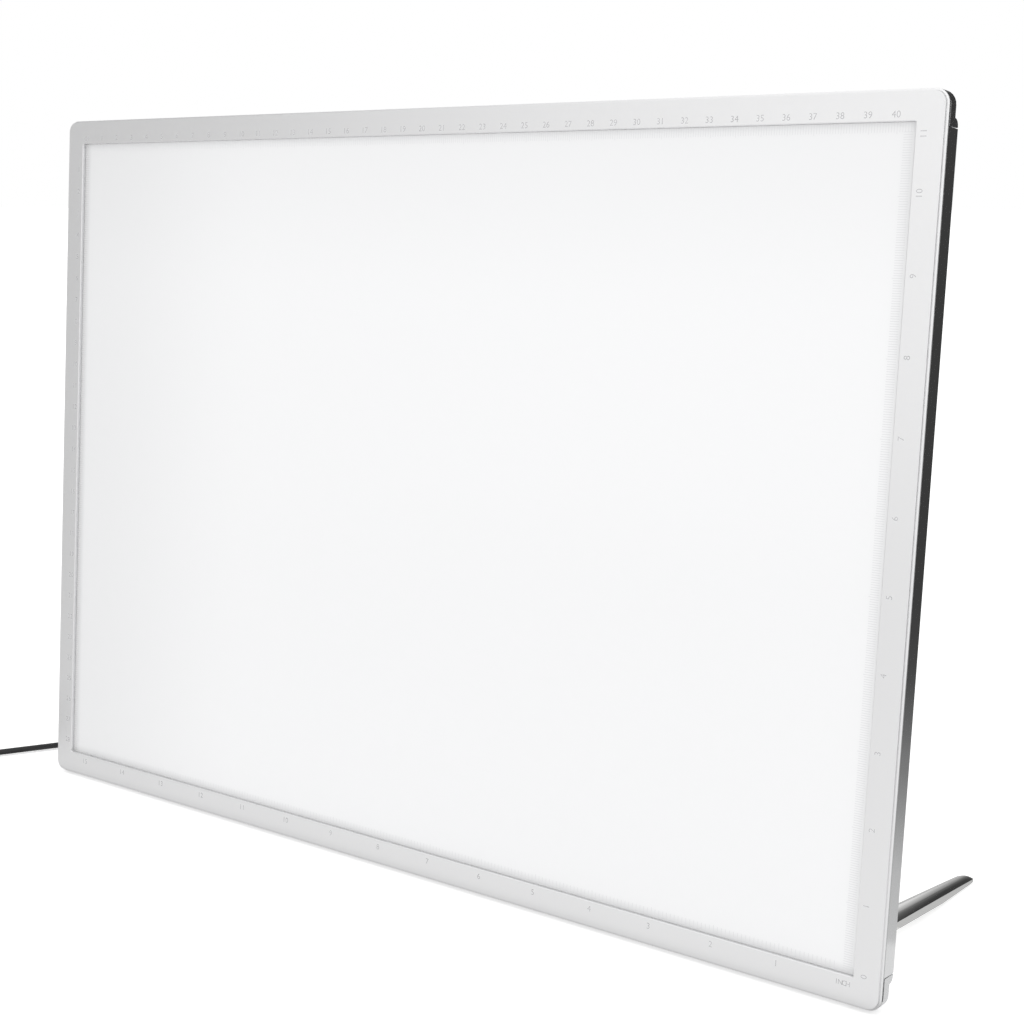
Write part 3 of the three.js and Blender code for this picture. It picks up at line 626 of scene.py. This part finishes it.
# dark card beyond the right-hand side, seen only in reflections
side = Vector((0.37, 0.93, 0)).normalized()
across = Vector((side.y, -side.x, 0))
base = Vector((0.2155, 0.0, 0)) + side * 0.215
fade = ((-0.30, 0.86), (-0.26, 0.78), (-0.22, 0.46), (-0.18, 0.17), (-0.14, 0.0), (0.6, 0.0))
shaded("dark_card", [([base + across * a + Vector((0, 0, z)) for a, _ in fade], tuple(max(g, f) for _, f in fade)) for z, g in ((-0.0004, 0.26), (0.012, 0.17), (0.045, 0.07), (0.09, 0.05), (1.3, 0.045))], None)
# painted shadow: the floor beside the dark card, darker towards the card, seen only in reflections
near = Vector((0.2155, 0.0, 0))
shaded("card_shadow_on_floor", [([near + side * d - across * 0.25 + Vector((0, 0, -0.0003)), near + side * d + across * 0.6 + Vector((0, 0, -0.0003))], g) for d, g in ((0.215, 0.20), (0.14, 0.35), (0.07, 0.56), (0.0, 0.62))], None)


# a long wall to the left of the camera that gets darker further round, seen only in reflections
def wall():
    v, f, n = [], [], 24
    for i in range(n + 1):
        a = math.radians(18 + 100 * i / n)
        x, y = -3.2 * math.sin(a), -3.2 * math.cos(a)
        v += [(x, y, -0.2), (x, y, 3.2)]
        if i:
            b = 2 * i
            f.append((b - 2, b - 1, b + 1, b))
    me = bpy.data.meshes.new("left_wall")
    me.from_pydata(v, [], f)
    m = glow("left_wall_grey", 1.0)
    t = m.node_tree
    e = next(x for x in t.nodes if x.type == "EMISSION")
    at = t.nodes.new("ShaderNodeAttribute")
    at.attribute_name = "shade"
    t.links.new(at.outputs["Color"], e.inputs["Color"])
    col = me.color_attributes.new("shade", "FLOAT_COLOR", "POINT")
    for i in range(n + 1):
        a = 18 + 100 * i / n
        k = min(1.0, max(0.0, (a - 27) / 30))
        g = 1.0 - 0.50 * (k * k * (3 - 2 * k))
        for j in (0, 1):
            col.data[2 * i + j].color = (g, g, g, 1)
    me.materials.append(m)
    o = link(bpy.data.objects.new("left_wall", me))
    return reflected_only(o)


wall()

world = bpy.data.worlds.new("studio")
scene.world = world
world.use_nodes = True
world.node_tree.nodes["Background"].inputs["Color"].default_value = (1, 1, 1, 1)
world.node_tree.nodes["Background"].inputs["Strength"].default_value = 1.0

lamp = bpy.data.lights.new("soft_box", "AREA")
lamp.shape = "RECTANGLE"
lamp.size, lamp.size_y = 2.4, 1.8
lamp.energy = 1.5
lo = link(bpy.data.objects.new("soft_box", lamp))
lo.location = (0.6, -1.8, 2.2)
lo.rotation_mode = "QUATERNION"
lo.rotation_quaternion = (Vector((0, 0, 0.1)) - lo.location).to_track_quat("-Z", "Y")

scene.view_settings.view_transform = "Standard"
scene.view_settings.look = "None"
scene.view_settings.exposure = 0
scene.view_settings.gamma = 1

cam = bpy.data.cameras.new("camera")
cam.sensor_fit = "HORIZONTAL"
cam.sensor_width = 36
cam.lens = 61.052
cam.clip_start, cam.clip_end = 0.02, 100
co = link(bpy.data.objects.new("camera", cam))
right, up, fwd = Vector((0.8003, 0.5996, 0.0004)), Vector((-0.1070, 0.1421, 0.9841)), Vector((-0.5900, 0.7876, -0.1779))
rot = Matrix((right, up, -fwd)).transposed()
co.matrix_world = Matrix.Translation(Vector((0.44451, -0.58014, 0.27278))) @ rot.to_4x4()
scene.camera = co

bpy.context.view_layer.update()
